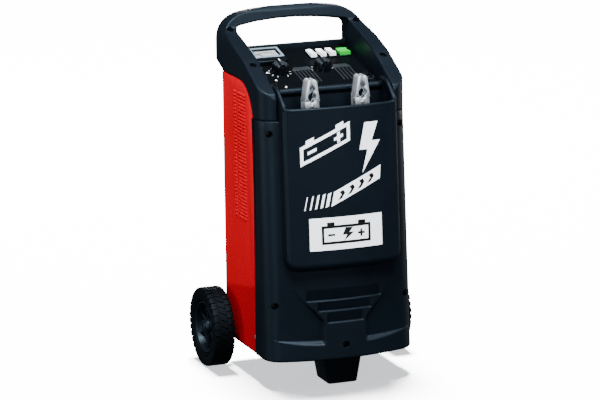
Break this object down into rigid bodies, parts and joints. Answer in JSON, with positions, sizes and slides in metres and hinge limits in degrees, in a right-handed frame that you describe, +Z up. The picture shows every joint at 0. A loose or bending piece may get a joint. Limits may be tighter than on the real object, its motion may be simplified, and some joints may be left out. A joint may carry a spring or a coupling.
{
  "type": "wheeled car battery charger",
  "caption": "Upright wheeled battery charger: steel box, moulded front with a clamp bin, hoop handle, sloping control panel and front foot.",
  "frame": {"origin": "on the floor, under the middle of the whole machine's box", "axes": "+X to the right seen from the front, +Y to the rear, +Z up"},
  "size_m": [0.3834, 0.3083, 0.645],
  "materials": {
    "black_moulding": "fine moulded texture, satin",
    "panel_plastic": "smooth, slightly glossy",
    "red_paint": "smooth powder coat, semi-gloss",
    "zinc_steel": "zinc plated, satin",
    "clamp_chrome": "bright plated",
    "core_steel": "laminated, matt",
    "copper_wire": "enamelled winding wire",
    "heatsink_aluminium": "extruded, matt",
    "soft_rubber": "matt",
    "tyre_rubber": "matt",
    "rocker_white": "smooth, glossy",
    "rocker_green": "smooth, glossy",
    "meter_card": "matt print",
    "meter_window": "clear",
    "black_steel": "blackened"
  },
  "bodies": {
    "chassis": {"base_plate": "zinc_steel", "left_side_panel": "red_paint", "right_side_panel": "red_paint", "rear_panel": "red_paint", "mains_gland": "soft_rubber", "transformer_core": "core_steel", "transformer_winding": "copper_wire", "rectifier_heatsink": "heatsink_aluminium", "rectifier_diode_left": "zinc_steel", "rectifier_diode_right": "zinc_steel", "front_cover": "black_moulding", "lead_grommet": "soft_rubber", "front_foot": "soft_rubber", "handle_frame": "black_moulding", "handle_rear_shell": "black_moulding", "cheek_screw_front_left": "black_steel", "cheek_screw_front_right": "black_steel", "cheek_screw_rear_left": "black_steel", "cheek_screw_rear_right": "black_steel", "column_screw_lower_left": "black_steel", "column_screw_lower_right": "black_steel", "column_screw_upper_left": "black_steel", "column_screw_upper_right": "black_steel", "bumper_screw": "black_steel", "control_panel": "panel_plastic", "ammeter_case": "panel_plastic", "ammeter_scale": "meter_card", "ammeter_lens": "meter_window", "voltage_switch_body": "panel_plastic", "boost_switch_body": "panel_plastic", "start_switch_body": "panel_plastic", "mains_switch_body": "panel_plastic", "timer_body": "panel_plastic", "selector_body": "panel_plastic", "breaker_body": "panel_plastic", "axle": "zinc_steel", "axle_clip_left": "zinc_steel", "axle_clip_right": "zinc_steel"},
    "wheel_left": {"tyre_left": "tyre_rubber", "hub_left": "black_moulding", "hub_cap_left": "black_moulding"},
    "wheel_right": {"tyre_right": "tyre_rubber", "hub_right": "black_moulding", "hub_cap_right": "black_moulding"},
    "voltage_switch": {"voltage_rocker": "rocker_white"},
    "boost_switch": {"boost_rocker": "rocker_white"},
    "start_switch": {"start_rocker": "rocker_white"},
    "mains_switch": {"mains_rocker": "rocker_green"},
    "timer_dial": {"timer_knob": "panel_plastic"},
    "selector_dial": {"selector_knob": "panel_plastic"},
    "meter_needle": {"ammeter_needle": "panel_plastic"},
    "reset_button": {"breaker_button": "panel_plastic"},
    "clamp_left": {"clamp_left_fixed_jaw": "clamp_chrome", "clamp_left_pin": "zinc_steel", "clamp_left_spring": "zinc_steel"},
    "clamp_left_jaw": {"clamp_left_moving_jaw": "clamp_chrome"},
    "clamp_right": {"clamp_right_fixed_jaw": "clamp_chrome", "clamp_right_pin": "zinc_steel", "clamp_right_spring": "zinc_steel"},
    "clamp_right_jaw": {"clamp_right_moving_jaw": "clamp_chrome"}
  },
  "joints": [
    {"name": "wheel_left_spin", "type": "hinge", "parent": "chassis", "child": "wheel_left", "pos_m": [-0.172, 0.083, 0.0722], "axis": [1, 0, 0], "continuous": true},
    {"name": "wheel_right_spin", "type": "hinge", "parent": "chassis", "child": "wheel_right", "pos_m": [0.172, 0.083, 0.0722], "axis": [1, 0, 0], "continuous": true},
    {"name": "voltage_rocker_tilt", "type": "hinge", "parent": "chassis", "child": "voltage_switch", "pos_m": [0.0305, 0.09364, 0.55662], "axis": [1, 0, 0], "range_deg": [0, 18]},
    {"name": "boost_rocker_tilt", "type": "hinge", "parent": "chassis", "child": "boost_switch", "pos_m": [0.049, 0.09364, 0.55662], "axis": [1, 0, 0], "range_deg": [0, 18]},
    {"name": "start_rocker_tilt", "type": "hinge", "parent": "chassis", "child": "start_switch", "pos_m": [0.0675, 0.09364, 0.55662], "axis": [1, 0, 0], "range_deg": [0, 18]},
    {"name": "mains_rocker_tilt", "type": "hinge", "parent": "chassis", "child": "mains_switch", "pos_m": [0.091, 0.09114, 0.55599], "axis": [1, 0, 0], "range_deg": [0, 18]},
    {"name": "timer_knob_turn", "type": "hinge", "parent": "chassis", "child": "timer_dial", "pos_m": [-0.0537, 0.031, 0.53945], "axis": [0, -0.2419, 0.9703], "range_deg": [-300, 0]},
    {"name": "selector_knob_turn", "type": "hinge", "parent": "chassis", "child": "selector_dial", "pos_m": [0.0275, 0.031, 0.53945], "axis": [0, -0.2419, 0.9703], "range_deg": [-135, 135]},
    {"name": "needle_swing", "type": "hinge", "parent": "chassis", "child": "meter_needle", "pos_m": [-0.056, 0.08127, 0.55198], "axis": [0, -0.2419, 0.9703], "range_deg": [-84, 0], "stiffness_Nm_per_rad": 0.0005, "springref_deg": 5.73},
    {"name": "reset_button_trip", "type": "slide", "parent": "chassis", "child": "reset_button", "axis": [0, -0.2419, 0.9703], "range_m": [0, 0.004]},
    {"name": "clamp_left_lift", "type": "slide", "parent": "chassis", "child": "clamp_left", "axis": [0, 0, 1], "range_m": [0, 0.15]},
    {"name": "clamp_left_open", "type": "hinge", "parent": "clamp_left", "child": "clamp_left_jaw", "pos_m": [-0.044, -0.0935, 0.501], "axis": [0, 1, 0], "range_deg": [0, 22], "stiffness_Nm_per_rad": 0.5, "springref_deg": -17.19},
    {"name": "clamp_right_lift", "type": "slide", "parent": "chassis", "child": "clamp_right", "axis": [0, 0, 1], "range_m": [0, 0.15]},
    {"name": "clamp_right_open", "type": "hinge", "parent": "clamp_right", "child": "clamp_right_jaw", "pos_m": [0.052, -0.0905, 0.501], "axis": [0, 1, 0], "range_deg": [0, 22], "stiffness_Nm_per_rad": 0.5, "springref_deg": -17.19}
  ]
}
